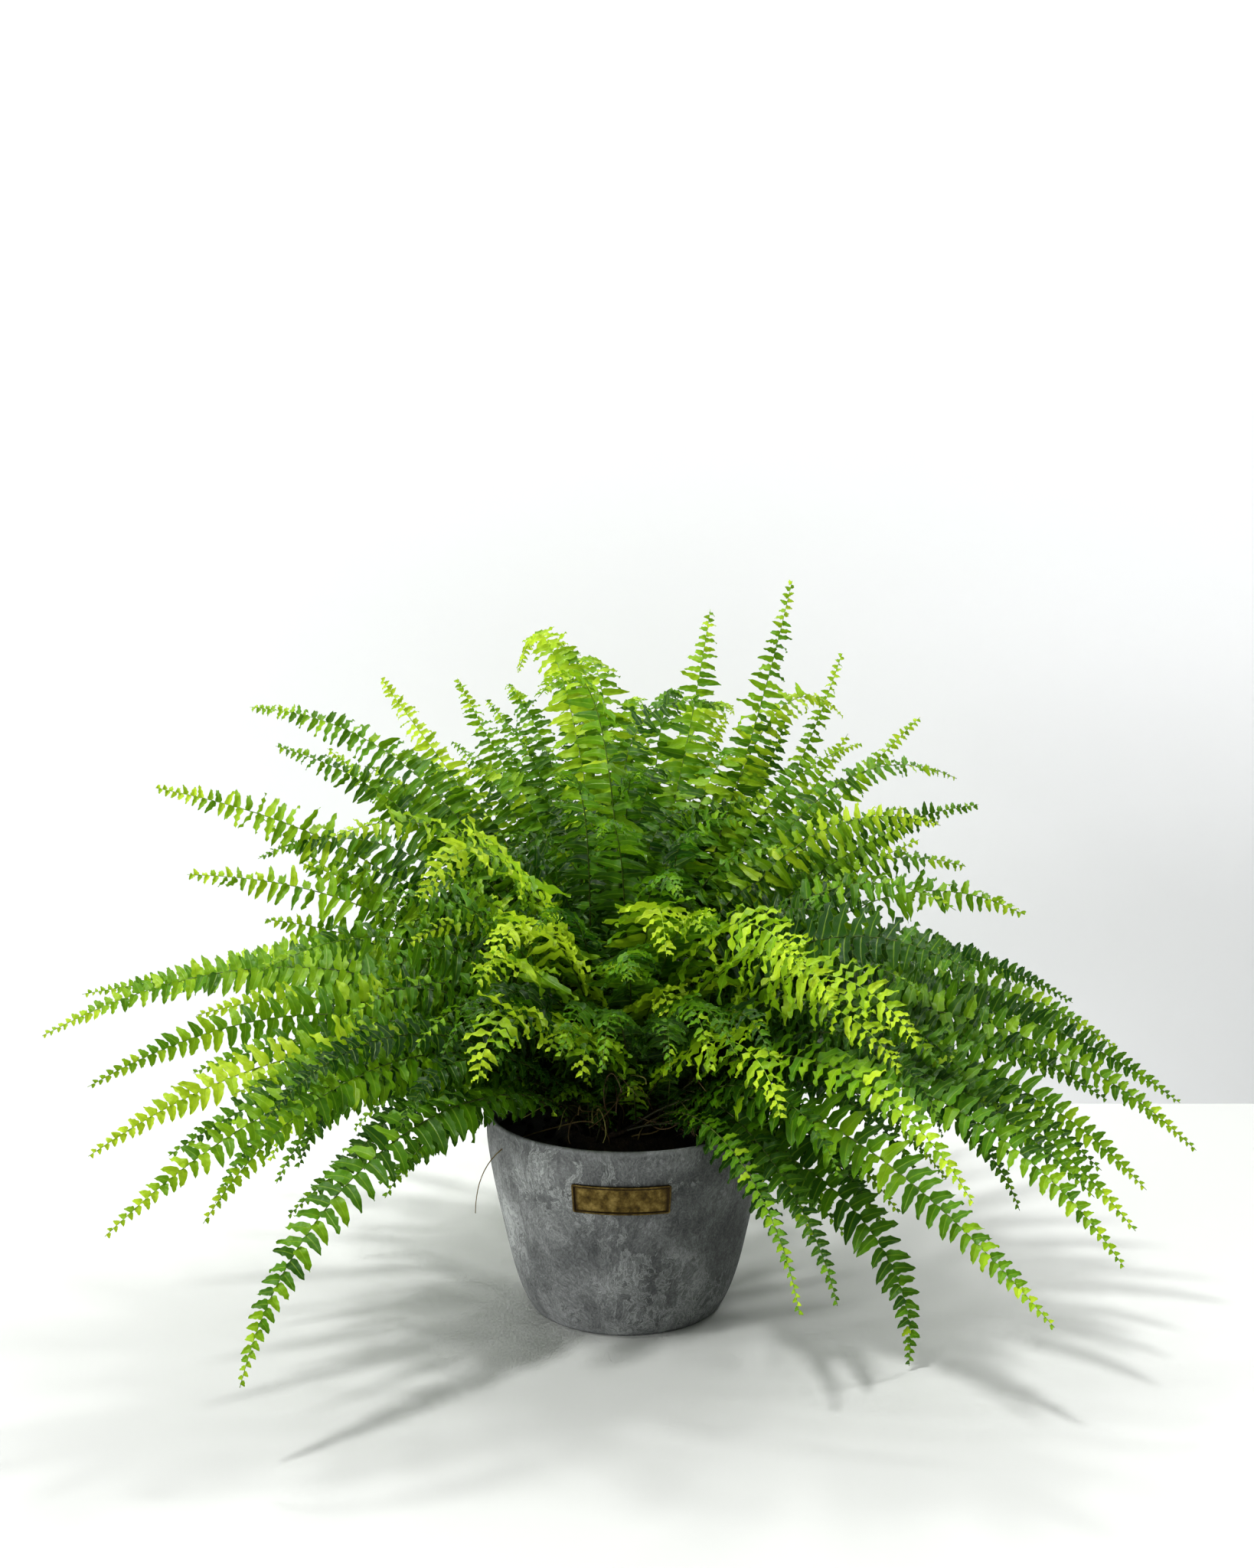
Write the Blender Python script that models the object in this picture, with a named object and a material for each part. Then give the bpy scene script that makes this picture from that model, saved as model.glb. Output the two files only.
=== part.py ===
# A Boston fern in a round stone-look planter with a plain brass plate.
# Metres, +Z up. The origin is the centre of the planter's underside; the plate faces -Y.
# An azimuth is measured from +X towards +Y, so 270 degrees is the front and 180 the left.

import math

import bmesh
import bpy
import numpy as np
from mathutils import Vector
from mathutils.bvhtree import BVHTree

# Planter
RIM_RADIUS = 0.110
BASE_RADIUS = 0.0765
PLANTER_HEIGHT = 0.155
WALL = 0.0045
FLOOR_THICKNESS = 0.009
STRAIGHT_BAND = 0.020  # upright part of the wall below the lip
HEEL_SHARE = 0.18  # how much of the flare happens in the tight curve at the foot
HEEL_POWER = 9.0
BODY_POWER = 1.2
FOOT_ROUND = 0.0025
PLANTER_SIDES = 48
WALL_STEPS = 8
LIP_STEPS = 4

# Name plate
PLATE_WIDTH = 0.073
PLATE_HEIGHT = 0.0225
PLATE_THICKNESS = 0.0018
PLATE_BORDER = 0.0018
PLATE_RECESS = 0.0006
PLATE_MIDDLE = 0.118  # height of the plate's centre
PLATE_AZIMUTH = 268.0
PLATE_COLUMNS = 14

# Soil and crown
SOIL_BELOW_RIM = 0.022
CROWN_RADIUS = 0.056
CROWN_HEIGHT = 0.016
CROWN_SIDES = 24
CROWN_STEPS = 5
SEAT_SPREAD = 0.046  # radius of the crown that carries fronds

# Fronds
BLADE_WIDTH = 0.058
BLADE_THICKNESS = 0.0016
STIPE_WIDTH = 0.0030
STIPE_SHARE = 0.16  # bare part of a frond, from the crown
TIP_WIDTH = 0.007
ROLL = 14.0  # how much blades differ in their turn about the midrib, in degrees
FACE_FORWARD = 40.0  # turn of the side fronds, which show their upper faces to the front
RINGS = 14
FLOOR_CLEARANCE = 0.0025

GAP = 0.0004  # between touching pieces
FROND_GAP = 0.0010  # between fronds that pass each other
GOLDEN_ANGLE = math.radians(137.508)
SEARCH_TRIES = (500, 4000)  # ways tried from each place on the crown, first near and then far

# One line for each frond: azimuth of the tip, its reach past the planter's rim, its height above the floor,
# the angle at which the frond leaves the crown, the heading at its tip (both above the level, in degrees),
# and the blade's width against BLADE_WIDTH.
FRONDS = [
    # left, from the top tier down
    (150, 0.270, 0.455, 66, 0, 0.90),
    (140, 0.240, 0.415, 60, 25, 0.75),
    (165, 0.295, 0.395, 58, 8, 1.00),
    (205, 0.125, 0.385, 78, -20, 1.00),
    (178, 0.240, 0.335, 56, -12, 0.95),
    (172, 0.340, 0.230, 46, -12, 0.90),
    (186, 0.335, 0.225, 52, -28, 1.00),
    (196, 0.295, 0.205, 46, -28, 1.00),
    (205, 0.300, 0.175, 42, -28, 1.05),
    (214, 0.305, 0.140, 40, -38, 1.10),
    (222, 0.260, 0.155, 52, -50, 1.00),
    (229, 0.265, 0.060, 44, -72, 1.05),
    (212, 0.190, 0.300, 62, -24, 0.85),
    # top and back, from the left to the right
    (130, 0.240, 0.475, 64, 36, 0.90),
    (120, 0.200, 0.475, 72, 40, 0.90),
    (110, 0.180, 0.480, 82, -50, 0.80),
    (248, 0.050, 0.490, 86, -30, 0.90),
    (98, 0.190, 0.480, 72, -20, 0.90),
    (70, 0.105, 0.540, 80, 62, 1.10),
    (52, 0.115, 0.565, 72, 64, 0.90),
    (50, 0.190, 0.500, 60, 60, 0.70),
    # right, from the top tier down
    (38, 0.220, 0.445, 60, 36, 0.70),
    (26, 0.225, 0.375, 62, 2, 0.80),
    (14, 0.175, 0.335, 66, -18, 0.90),
    (4, 0.205, 0.305, 60, -30, 0.95),
    (14, 0.275, 0.215, 52, -32, 0.90),
    (6, 0.290, 0.190, 54, -38, 0.95),
    (-3, 0.320, 0.165, 54, -38, 1.00),
    (-8, 0.325, 0.140, 60, -44, 1.00),
    (-15, 0.285, 0.125, 50, -46, 1.00),
    (-22, 0.280, 0.110, 56, -50, 1.00),
    (-28, 0.280, 0.100, 50, -52, 1.00),
    (-36, 0.260, 0.080, 46, -54, 1.05),
    (-33, 0.135, 0.004, 40, -84, 1.05),
    (-50, 0.235, 0.175, 52, -48, 0.90),
    (-62, 0.138, 0.080, 48, -72, 0.45),
    # front, nodding towards the viewer
    (237, 0.140, 0.360, 76, -48, 0.95),
    (246, 0.115, 0.235, 64, -72, 0.95),
    (258, 0.040, 0.222, 72, -80, 0.85),
    (279, 0.065, 0.315, 84, -60, 1.00),
    (300, 0.125, 0.310, 78, -40, 0.95),
    (306, 0.130, 0.285, 68, -50, 0.95),
    (313, 0.175, 0.262, 64, -48, 0.90),
    (296, 0.125, 0.214, 58, -66, 0.85),
    (326, 0.180, 0.300, 70, -24, 1.20),
    # back, below the top tier
    (30, 0.310, 0.200, 54, -32, 0.95),
    (46, 0.310, 0.170, 48, -40, 1.00),
    (62, 0.290, 0.230, 56, -28, 0.95),
    (78, 0.300, 0.150, 46, -44, 1.00),
    (94, 0.290, 0.220, 56, -30, 1.00),
    (110, 0.310, 0.160, 46, -42, 1.00),
    (126, 0.300, 0.230, 56, -28, 0.95),
    (142, 0.320, 0.160, 46, -40, 1.00),
    (158, 0.330, 0.200, 50, -32, 1.00),
    (84, 0.180, 0.350, 68, -10, 0.95),
]

STONE = (0.32, 0.33, 0.34)
BRASS = (0.42, 0.33, 0.14)
SOIL = (0.045, 0.030, 0.020)
RHIZOME = (0.16, 0.10, 0.05)
OLD_LEAF = (0.06, 0.22, 0.03)
YOUNG_LEAF = (0.22, 0.48, 0.04)


def clear_scene():
    for thing in list(bpy.data.objects):
        bpy.data.objects.remove(thing, do_unlink=True)


def make_material(name, colour, roughness, metallic=0.0):
    material = bpy.data.materials.new(name)
    material.use_nodes = True
    shader = material.node_tree.nodes["Principled BSDF"]
    shader.inputs["Base Color"].default_value = (*colour, 1.0)
    shader.inputs["Roughness"].default_value = roughness
    shader.inputs["Metallic"].default_value = metallic
    return material


def make_object(name, shape, material, smooth_angle=40.0):
    """Turn a closed bmesh into an object whose faces point outwards."""
    bmesh.ops.recalc_face_normals(shape, faces=shape.faces)
    mesh = bpy.data.meshes.new(name)
    shape.to_mesh(mesh)
    shape.free()
    mesh.materials.append(material)
    mesh.shade_smooth()
    mesh.set_sharp_from_angle(angle=math.radians(smooth_angle))
    thing = bpy.data.objects.new(name, mesh)
    bpy.context.scene.collection.objects.link(thing)
    return thing


def turned_solid(profile, sides):
    """Spin an outline of (radius, height) points, which starts and ends on the axis, into a closed solid."""
    shape = bmesh.new()
    points = [shape.verts.new((radius, 0.0, height)) for radius, height in profile]
    edges = [shape.edges.new(pair) for pair in zip(points, points[1:])]
    bmesh.ops.spin(
        shape,
        geom=points + edges,
        cent=(0, 0, 0),
        axis=(0, 0, 1),
        angle=math.tau,
        steps=sides,
        use_merge=True,
    )
    bmesh.ops.remove_doubles(shape, verts=shape.verts, dist=1e-6)
    return shape


# ---- planter, plate, soil and crown ----


def outer_radius(height):
    """The planter's outer radius: a tight heel at the foot, a slow flare, then upright under the lip."""
    below = 1.0 - height / (PLANTER_HEIGHT - STRAIGHT_BAND)
    below = min(max(below, 0.0), 1.0)
    body = (1.0 - HEEL_SHARE) * (1.0 - below**BODY_POWER)
    heel = HEEL_SHARE * (1.0 - below**HEEL_POWER)
    return BASE_RADIUS + (RIM_RADIUS - BASE_RADIUS) * (body + heel)


def wall_heights(lowest):
    """Heights along the wall, closer together near the foot, where it curves most."""
    top = PLANTER_HEIGHT - STRAIGHT_BAND
    return [lowest + (top - lowest) * (step / WALL_STEPS) ** 1.5 for step in range(WALL_STEPS + 1)]


def planter_profile():
    lip = WALL / 2
    lip_middle = RIM_RADIUS - lip
    outline = [(0.0, 0.0), (BASE_RADIUS - FOOT_ROUND, 0.0)]
    outline += [(outer_radius(height), height) for height in wall_heights(FOOT_ROUND)]
    for step in range(LIP_STEPS + 1):
        turn = math.pi * step / LIP_STEPS
        outline.append((lip_middle + lip * math.cos(turn), PLANTER_HEIGHT - lip + lip * math.sin(turn)))
    inner = [(outer_radius(height) - WALL, height) for height in wall_heights(FLOOR_THICKNESS)]
    return outline + inner[::-1] + [(0.0, FLOOR_THICKNESS)]


def make_planter():
    material = make_material("Stone", STONE, 0.75)
    return make_object("planter", turned_solid(planter_profile(), PLANTER_SIDES), material)


def wrap_on_wall(across, height, depth):
    """The place of a point of the plate: across the front, at a height, so far out from the wall."""
    radius = outer_radius(height) + GAP + depth
    angle = math.radians(PLATE_AZIMUTH) + across / outer_radius(PLATE_MIDDLE)
    return Vector((radius * math.cos(angle), radius * math.sin(angle), height))


def make_name_plate():
    """A blank plate with a raised border, bent to the planter's wall."""
    shape = bmesh.new()
    bmesh.ops.create_grid(shape, x_segments=PLATE_COLUMNS, y_segments=4, size=0.5)
    bmesh.ops.scale(shape, vec=(PLATE_WIDTH, PLATE_HEIGHT, 1.0), verts=shape.verts)
    front = list(shape.faces)
    bmesh.ops.inset_region(shape, faces=front, thickness=PLATE_BORDER, use_even_offset=True)
    raised = bmesh.ops.extrude_face_region(shape, geom=shape.faces[:])["geom"]
    front_face = [item for item in raised if isinstance(item, bmesh.types.BMVert)]
    bmesh.ops.translate(shape, vec=(0, 0, PLATE_THICKNESS), verts=front_face)
    half = Vector((PLATE_WIDTH / 2 - PLATE_BORDER, PLATE_HEIGHT / 2 - PLATE_BORDER))
    for point in front_face:
        if abs(point.co.x) < half.x + GAP and abs(point.co.y) < half.y + GAP:
            point.co.z -= PLATE_RECESS
    for point in shape.verts:
        point.co = wrap_on_wall(point.co.x, PLATE_MIDDLE + point.co.y, point.co.z)
    material = make_material("Brass", BRASS, 0.45, 1.0)
    return make_object("name_plate", shape, material)


def soil_top():
    return PLANTER_HEIGHT - SOIL_BELOW_RIM


def make_soil():
    low = FLOOR_THICKNESS + GAP
    heights = [height for height in wall_heights(low) if height < soil_top()] + [soil_top()]
    profile = [(0.0, low)]
    profile += [(outer_radius(height) - WALL - GAP, height) for height in heights]
    profile.append((0.0, soil_top()))
    return make_object("soil", turned_solid(profile, PLANTER_SIDES), make_material("Soil", SOIL, 0.95))


def crown_surface(radius):
    """Height of the crown's domed top at a distance from the pot's axis."""
    share = min(radius / CROWN_RADIUS, 1.0)
    return soil_top() + GAP + CROWN_HEIGHT * math.sqrt(1.0 - share * share)


def make_crown():
    profile = [(0.0, soil_top() + GAP)]
    for step in range(CROWN_STEPS + 1):
        radius = CROWN_RADIUS * math.cos(0.5 * math.pi * step / CROWN_STEPS)
        profile.append((max(radius, 0.0) if step < CROWN_STEPS else 0.0, crown_surface(radius)))
    return make_object("crown", turned_solid(profile, CROWN_SIDES), make_material("Rhizome", RHIZOME, 0.9))


# ---- fronds ----


def crown_seats(count):
    """Places on the crown, set in the spiral that growing tips are packed in."""
    seats = []
    for index in range(count):
        radius = SEAT_SPREAD * math.sqrt((index + 0.5) / count)
        angle = index * GOLDEN_ANGLE
        seats.append(Vector((radius * math.cos(angle), radius * math.sin(angle))))
    return seats


def heading(azimuth, elevation):
    """Unit vector for an azimuth and an angle above the level, in degrees."""
    around = math.radians(azimuth)
    above = math.radians(elevation)
    flat = math.cos(above)
    return np.array((flat * math.cos(around), flat * math.sin(around), math.sin(above)))


def frond_centres(seat, azimuth, reach, height, launch, droop):
    """Points along the midrib: one Bezier arc from the seat on the crown to the tip."""
    start = np.array((seat.x, seat.y, crown_surface(seat.length) + STIPE_WIDTH))
    tip = heading(azimuth, 0.0) * (RIM_RADIUS + reach) + np.array((0.0, 0.0, height))
    span = float(np.linalg.norm(tip - start))
    away = math.degrees(math.atan2(tip[1] - start[1], tip[0] - start[0]))
    rise = start + heading(away, launch) * span * 0.42
    fall = tip - heading(away, droop) * span * 0.42
    share = np.linspace(0.0, 1.0, RINGS)[:, None]
    rest = 1.0 - share
    return rest**3 * start + 3 * rest**2 * share * rise + 3 * rest * share**2 * fall + share**3 * tip


def blade_widths(scale):
    """Width at each ring: a bare stipe, then a blade that widens quickly and narrows slowly."""
    widths = []
    for ring in range(RINGS):
        share = ring / (RINGS - 1)
        if share <= STIPE_SHARE:
            widths.append(STIPE_WIDTH)
            continue
        along = (share - STIPE_SHARE) / (1.0 - STIPE_SHARE)
        form = min(1.0, along / 0.3) ** 0.6 * (1.0 - along**2.6) ** 0.75
        widths.append(max(BLADE_WIDTH * scale * form, TIP_WIDTH))
    return np.array(widths)


def frond_rings(centres, widths, roll, margin=0.0):
    """Four points round each centre: left edge, upper side, right edge and lower side."""
    along = np.gradient(centres, axis=0)
    along /= np.linalg.norm(along, axis=1)[:, None]
    outwards = centres[-1] - centres[0]
    level = np.array((-outwards[1], outwards[0], 0.0))
    level = level / np.linalg.norm(level)
    side = level - along * (along @ level)[:, None]
    side /= np.linalg.norm(side, axis=1)[:, None]
    above = np.cross(along, side)
    turns = np.radians(roll) * np.linspace(0.0, 1.0, RINGS)[:, None] ** 0.6
    side, above = side * np.cos(turns) + above * np.sin(turns), above * np.cos(turns) - side * np.sin(turns)
    half_width = widths[:, None] / 2 + margin
    stipe = widths[:, None] <= STIPE_WIDTH
    half_depth = np.where(stipe, STIPE_WIDTH / 2, BLADE_THICKNESS / 2) + margin
    corners = (side * half_width, above * half_depth, -side * half_width, -above * half_depth)
    return np.stack([centres + corner for corner in corners], axis=1)


def ring_faces():
    """Triangles of the closed skin over the rings."""
    faces = [(0, 1, 2), (0, 2, 3)]
    for ring in range(RINGS - 1):
        first = 4 * ring
        for corner in range(4):
            after = (corner + 1) % 4
            here, there = first + corner, first + after
            if corner < 2:
                faces += [(here, here + 4, there + 4), (here, there + 4, there)]
            else:  # creased as the upper side is, so that a twisted blade's two sides never cross
                faces += [(here, here + 4, there), (there, here + 4, there + 4)]
    last = 4 * (RINGS - 1)
    faces += [(last, last + 2, last + 1), (last, last + 3, last + 2)]
    return faces


def tree_of(rings):
    return BVHTree.FromPolygons(rings.reshape(-1, 3).tolist(), ring_faces())


def tree_of_object(thing):
    mesh = thing.data
    return BVHTree.FromPolygons([point.co for point in mesh.vertices], [face.vertices for face in mesh.polygons])


def search_steps(tries):
    """Changes of (azimuth, launch, droop, roll) in degrees, from none outwards in a widening spiral."""
    for step in range(tries):
        size = 0.5 * math.sqrt(step)
        turn = step * GOLDEN_ANGLE
        yield (
            0.5 * size * math.cos(turn),
            2.0 * size * math.sin(turn),
            2.0 * size * math.cos(2 * turn),
            2.0 * size * math.sin(3 * turn),
        )


def lead_frond(frond, seat, roll, obstacles, tries):
    """Rings of a frond, led clear of the others by a small change of direction, or None if it can't be."""
    azimuth, reach, height, launch, droop, scale = frond
    widths = blade_widths(scale)
    for sideways, steeper, straighter, rolled in search_steps(tries):
        centres = frond_centres(seat, azimuth + sideways, reach, height, launch + steeper, droop + straighter)
        grown = frond_rings(centres, widths, roll + rolled, FROND_GAP)
        if grown[:, :, 2].min() < FLOOR_CLEARANCE:
            lift = FLOOR_CLEARANCE - grown[:, :, 2].min()
            centres[:, 2] += lift * np.linspace(0.0, 1.0, RINGS) ** 2
            grown = frond_rings(centres, widths, roll + rolled, FROND_GAP)
        tree = tree_of(grown)
        if not any(tree.overlap(other) for other in obstacles):
            obstacles.append(tree)
            return frond_rings(centres, widths, roll + rolled)
    return None


def place_frond(frond, roll, free, obstacles):
    """Take the nearest seat that the frond can leave freely, and return its rings."""
    ideal = Vector(heading(frond[0], 0.0)[:2]) * SEAT_SPREAD * (1.0 - (frond[3] / 90.0) ** 2)
    for tries in SEARCH_TRIES:
        for seat in sorted(free, key=lambda place: (place - ideal).length):
            rings = lead_frond(frond, seat, roll, obstacles, tries)
            if rings is not None:
                free.remove(seat)
                return rings
    raise RuntimeError(f"no clear way for the frond at azimuth {frond[0]}")


def frond_material(height):
    """Older, darker green low down; young yellow-green fronds stand higher."""
    share = min(max((height - 0.10) / 0.40, 0.0), 1.0)
    colour = [old + (young - old) * share for old, young in zip(OLD_LEAF, YOUNG_LEAF)]
    return make_material("Leaf", colour, 0.5)


def make_frond(name, rings, height):
    shape = bmesh.new()
    points = [shape.verts.new(point) for point in rings.reshape(-1, 3)]
    for face in ring_faces():
        shape.faces.new([points[corner] for corner in face])
    return make_object(name, shape, frond_material(height), smooth_angle=60.0)


def make_fronds(fixed):
    """Steep fronds take the inner seats on the crown, low ones the outer seats."""
    obstacles = [tree_of_object(thing) for thing in fixed]
    free = crown_seats(len(FRONDS))
    order = sorted(range(len(FRONDS)), key=lambda index: -FRONDS[index][3])
    for index in order:
        azimuth, _, height = FRONDS[index][:3]
        roll = ROLL * math.sin(index * GOLDEN_ANGLE) + FACE_FORWARD * math.cos(math.radians(azimuth))
        rings = place_frond(FRONDS[index], roll, free, obstacles)
        make_frond(f"frond_{index + 1:02d}", rings, height)


def main():
    clear_scene()
    fixed = [make_planter(), make_name_plate(), make_soil(), make_crown()]
    make_fronds(fixed)


main()
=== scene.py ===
import math
from itertools import combinations

import bmesh
import bpy
import numpy as np
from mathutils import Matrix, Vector, noise
from mathutils.bvhtree import BVHTree


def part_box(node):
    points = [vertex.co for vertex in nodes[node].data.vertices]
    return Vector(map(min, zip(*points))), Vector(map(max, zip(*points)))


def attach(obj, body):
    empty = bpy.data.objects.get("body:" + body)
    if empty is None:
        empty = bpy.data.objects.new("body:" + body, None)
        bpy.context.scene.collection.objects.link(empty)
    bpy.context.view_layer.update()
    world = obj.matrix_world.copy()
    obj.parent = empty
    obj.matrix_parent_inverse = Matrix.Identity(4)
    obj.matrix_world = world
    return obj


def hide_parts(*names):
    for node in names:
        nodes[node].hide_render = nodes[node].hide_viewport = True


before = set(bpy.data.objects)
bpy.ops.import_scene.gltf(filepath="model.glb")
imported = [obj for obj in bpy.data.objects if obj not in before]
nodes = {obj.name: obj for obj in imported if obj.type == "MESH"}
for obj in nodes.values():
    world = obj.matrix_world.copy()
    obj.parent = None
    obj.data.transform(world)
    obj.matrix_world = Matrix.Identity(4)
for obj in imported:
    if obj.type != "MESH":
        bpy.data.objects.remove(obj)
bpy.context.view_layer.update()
goldenTurn = math.radians(137.508)
print("frame loaded:", len(nodes), "nodes")

# Camera, lights, floor and wall

view = {
    "aside": 0.0005,
    "back": 1.35,
    "height": 0.583,
    "pitch": 7.24,  # degrees below the level
    "lens": 40.55,
}

studio = {
    "half": 4.0,  # half the width of the floor and of the wall
    "wallPlace": 0.499,
    "floorColor": (0.50, 0.508, 0.492, 1.0),
    "wallColor": (0.72, 0.725, 0.735, 1.0),
    # wallGlow is painted light: the wall glows, more in some places than others, though it is no lamp
    "wallGlow": ((0.17, 0.24), (0.03, 0.30)),  # low and high, on the left and on the right
    "wallReach": (0.75, 1.25),  # half width and height that the glow is spread over
    "skyColor": (0.97, 0.985, 1.0, 1.0),
    "skyFrom": (-0.62, 0.58, 0.30),  # the brightest part of the sky
    "skyStrength": (0.03, 0.60),  # opposite that, and there
    "suns": (  # name, strength, where from, angle across in degrees
        ("key", 0.90, (-0.40, 0.52, 1.0), 6.0),
        ("secondKey", 1.15, (0.62, 0.42, 1.0), 7.0),
        ("overhead", 2.05, (-0.34, -0.30, 1.0), 6.0),
        ("side", 2.3, (-1.0, -0.45, 0.17), 26.0),
    ),
}


def link(thing):
    bpy.context.scene.collection.objects.link(thing)
    return thing


def addCamera():
    lens = bpy.data.cameras.new("camera")
    lens.lens = view["lens"]
    lens.sensor_width = 36.0
    camera = link(bpy.data.objects.new("camera", lens))
    camera.location = (view["aside"], -view["back"], view["height"])
    camera.rotation_euler = (math.radians(90.0 - view["pitch"]), 0.0, 0.0)
    bpy.context.scene.camera = camera


def addSun(name, strength, fromWhere, angle):
    lamp = bpy.data.lights.new(name, "SUN")
    lamp.energy = strength
    lamp.angle = math.radians(angle)
    sun = link(bpy.data.objects.new(name, lamp))
    sun.rotation_euler = Vector(fromWhere).to_track_quat("Z", "Y").to_euler()


def addNode(tree, kind, inputs=None, **settings):
    # Inputs are given by name or number, each as a value or as another node's output.
    node = tree.nodes.new("ShaderNode" + kind)
    for key, value in settings.items():
        setattr(node, key, value)
    for key, value in (inputs or {}).items():
        if isinstance(value, bpy.types.NodeSocket):
            tree.links.new(value, node.inputs[key])
        else:
            node.inputs[key].default_value = value
    return node


def newMaterial(name):
    # The material, its node tree, and the piece's own coordinates in it.
    material = bpy.data.materials.new(name)
    material.use_nodes = True
    tree = material.node_tree
    tree.nodes.clear()
    return material, tree, addNode(tree, "TexCoord").outputs["Object"]


def mathNode(tree, operation, first, second=0.0, clamp=False):
    return addNode(tree, "Math", {0: first, 1: second}, operation=operation, use_clamp=clamp).outputs[0]


def times(tree, first, second, clamp=False):
    return mathNode(tree, "MULTIPLY", first, second, clamp)


def plus(tree, first, second, clamp=False):
    return mathNode(tree, "ADD", first, second, clamp)


def cloudNode(tree, place, scale, detail, roughness=0.5, distortion=0.0, output=0):
    inputs = {"Vector": place, "Scale": scale, "Detail": detail, "Roughness": roughness,
              "Distortion": distortion}
    return addNode(tree, "TexNoise", inputs).outputs[output]


def rampNode(tree, factor, stops):
    # Stops are (place, grey or colour) pairs.
    node = addNode(tree, "ValToRGB", {0: factor})
    elements = node.color_ramp.elements
    while len(elements) < len(stops):
        elements.new(0.5)
    for element, (place, shade) in zip(elements, stops):
        element.position = place
        element.color = (*shade, 1.0) if isinstance(shade, tuple) else (shade, shade, shade, 1.0)
    return node.outputs["Color"]


def mixColors(tree, factor, first, second, blend="MIX"):
    # A colour is a node's output or (red, green, blue).
    first, second = ((*color, 1.0) if isinstance(color, tuple) else color for color in (first, second))
    return addNode(tree, "Mix", {0: factor, 6: first, 7: second}, data_type="RGBA", blend_type=blend).outputs[2]


def ownNumber(tree, name):
    return addNode(tree, "Attribute", attribute_name=name).outputs["Fac"]


def stretched(tree, place, scale):
    return addNode(tree, "Mapping", {"Vector": place, "Scale": scale}).outputs[0]


def bumped(tree, height, strength, distance):
    return addNode(tree, "Bump", {"Height": height, "Strength": strength, "Distance": distance}).outputs[0]


def finishMaterial(tree, shader):
    addNode(tree, "OutputMaterial", {"Surface": shader})


def finishPaint(tree, color, roughness, normal, **others):
    inputs = {"Base Color": color, "Roughness": roughness, "Normal": normal}
    finishMaterial(tree, addNode(tree, "BsdfPrincipled", inputs | others).outputs[0])


def meshFrom(name, shape):
    mesh = bpy.data.meshes.new(name)
    shape.to_mesh(mesh)
    shape.free()
    return mesh


def wallGlow(tree, place):
    # Painted light: the wall glows, brightest high up, and darker low down on the right.
    split = addNode(tree, "SeparateXYZ", {0: place})
    half, high = studio["wallReach"]
    up = addNode(tree, "MapRange", {"Value": split.outputs["Z"], "From Max": high}).outputs[0]
    across = {"Value": split.outputs["X"], "From Min": -half, "From Max": half}
    aside = addNode(tree, "MapRange", across).outputs[0]
    left, right = (rampNode(tree, up, [(0.0, low), (1.0, top)]) for low, top in studio["wallGlow"])
    return mixColors(tree, aside, left, right)


def addStage():
    half = studio["half"]
    for name, color in (("floor", studio["floorColor"]), ("wall", studio["wallColor"])):
        shape = bmesh.new()
        bmesh.ops.create_grid(shape, x_segments=1, y_segments=1, size=half)
        if name == "floor":
            bmesh.ops.translate(shape, vec=(0, studio["wallPlace"] - half, 0), verts=shape.verts)
        else:
            for point in shape.verts:
                point.co = Vector((point.co.x, studio["wallPlace"], half + point.co.y))
        thing = link(bpy.data.objects.new(name, meshFrom(name, shape)))
        material, tree, place = newMaterial(name)
        inputs = {"Base Color": color, "Roughness": 0.55, "Specular IOR Level": 0.25}
        if name == "wall":
            inputs |= {"Emission Color": wallGlow(tree, place), "Emission Strength": 1.0}
        surface = addNode(tree, "BsdfPrincipled", inputs).outputs[0]
        if name == "wall":  # it can be seen through from behind, and the key light stands there
            behind = addNode(tree, "NewGeometry").outputs["Backfacing"]
            clear = addNode(tree, "BsdfTransparent").outputs[0]
            surface = addNode(tree, "MixShader", {0: behind, 1: surface, 2: clear}).outputs[0]
            thing.visible_shadow = False
        finishMaterial(tree, surface)
        thing.data.materials.append(material)


def addSky():
    world = bpy.data.worlds.new("sky")
    bpy.context.scene.world = world
    world.use_nodes = True
    tree = world.node_tree
    sky = tree.nodes["Background"]
    sky.inputs["Color"].default_value = studio["skyColor"]
    ways = {0: addNode(tree, "TexCoord").outputs["Generated"], 1: Vector(studio["skyFrom"]).normalized()}
    towards = addNode(tree, "VectorMath", ways, operation="DOT_PRODUCT").outputs["Value"]
    dim, bright = studio["skyStrength"]
    limits = {"Value": towards, "From Min": -1.0, "From Max": 1.0, "To Min": dim, "To Max": bright}
    tree.links.new(addNode(tree, "MapRange", limits).outputs[0], sky.inputs["Strength"])


addCamera()
addStage()
addSky()
for sun in studio["suns"]:
    addSun(*sun)
bpy.context.scene.view_settings.view_transform = "Standard"
bpy.context.scene.view_settings.look = "Medium High Contrast"
print("camera, lights and stage placed")


# Shared effects

def newGroup(name, inputs, outputs):
    group = bpy.data.node_groups.new(name, "ShaderNodeTree")
    for label, kind, start in inputs:
        socket = group.interface.new_socket(label, in_out="INPUT", socket_type=kind)
        if start is not None:
            socket.default_value = start
    for label, kind in outputs:
        group.interface.new_socket(label, in_out="OUTPUT", socket_type=kind)
    return group, group.nodes.new("NodeGroupInput"), group.nodes.new("NodeGroupOutput")


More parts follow.
